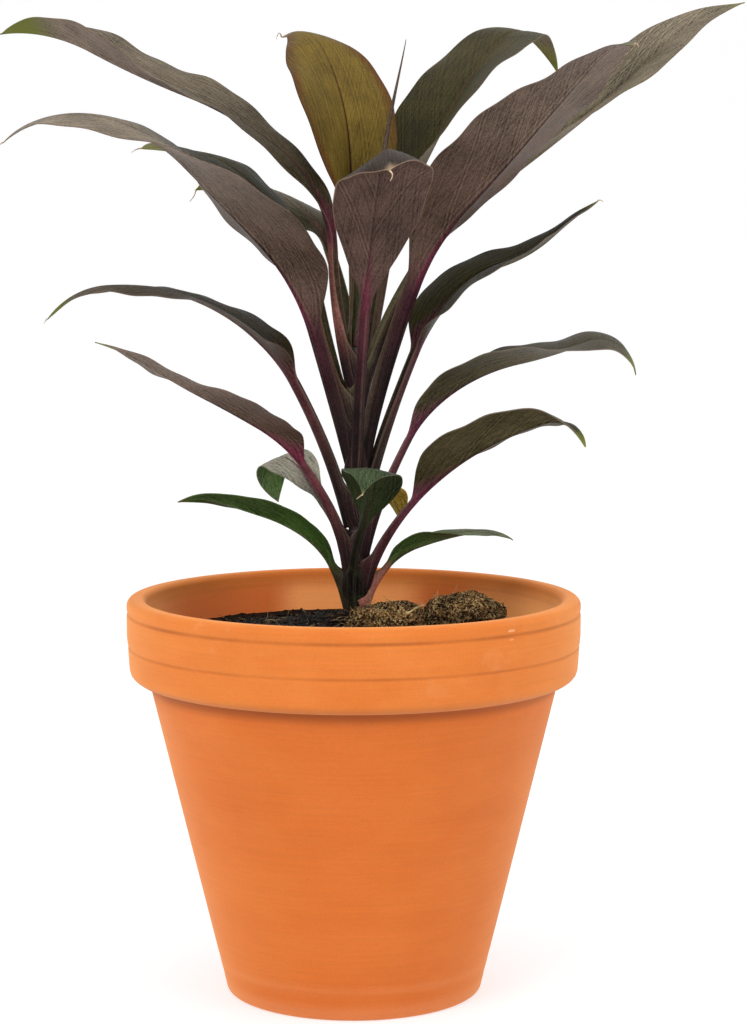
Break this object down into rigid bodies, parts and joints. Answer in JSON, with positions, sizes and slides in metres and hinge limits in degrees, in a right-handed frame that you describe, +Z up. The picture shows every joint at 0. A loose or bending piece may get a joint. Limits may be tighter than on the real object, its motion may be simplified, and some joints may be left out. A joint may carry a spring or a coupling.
{
  "type": "potted cordyline plant",
  "caption": "Tapered clay pot with a thick collar, filled with soil, carrying one slim cane of arching, channel-stalked purple-brown leaves.",
  "frame": {"origin": "centre of the pot's flat underside, where it rests on a floor or table", "axes": "+Z up, along the pot's axis and the plant's height; -Y towards the viewer of the picture; +X to the viewer's right"},
  "size_m": [0.3515, 0.2781, 0.461],
  "materials": {
    "terracotta": "unglazed orange clay, matt",
    "damp_soil": "damp dark potting soil",
    "dry_peat": "dry fibrous peat",
    "cane_bark": "dark purple-black bark",
    "purple_leaf": "purple-brown leaf with a soft sheen",
    "olive_leaf": "olive-brown leaf with a soft sheen",
    "green_leaf": "green leaf with a soft sheen",
    "yellow_leaf": "yellowed leaf, dull"
  },
  "bodies": {
    "root": {"pot": "terracotta", "soil": "damp_soil", "peat_clod_low": "dry_peat", "peat_clod_tall": "dry_peat", "cane": "cane_bark", "leaf_01_low_left": "green_leaf", "leaf_02_low_right": "green_leaf", "leaf_03_front_small": "green_leaf", "leaf_04_left_lower": "purple_leaf", "leaf_05_right_lower": "purple_leaf", "leaf_06_back_left": "green_leaf", "leaf_07_back_small": "yellow_leaf", "leaf_08_left_middle": "purple_leaf", "leaf_09_right_middle": "purple_leaf", "leaf_10_right_upper": "purple_leaf", "leaf_11_left_upper": "purple_leaf", "leaf_12_front_centre": "purple_leaf", "leaf_13_right_large": "purple_leaf", "leaf_14_behind_left": "purple_leaf", "leaf_15_back_left": "purple_leaf", "leaf_16_top_left": "purple_leaf", "leaf_17_top_right": "olive_leaf", "leaf_18_top_back": "olive_leaf", "leaf_19_back_right": "olive_leaf", "leaf_20_rolled_spear": "purple_leaf"}
  },
  "joints": []
}
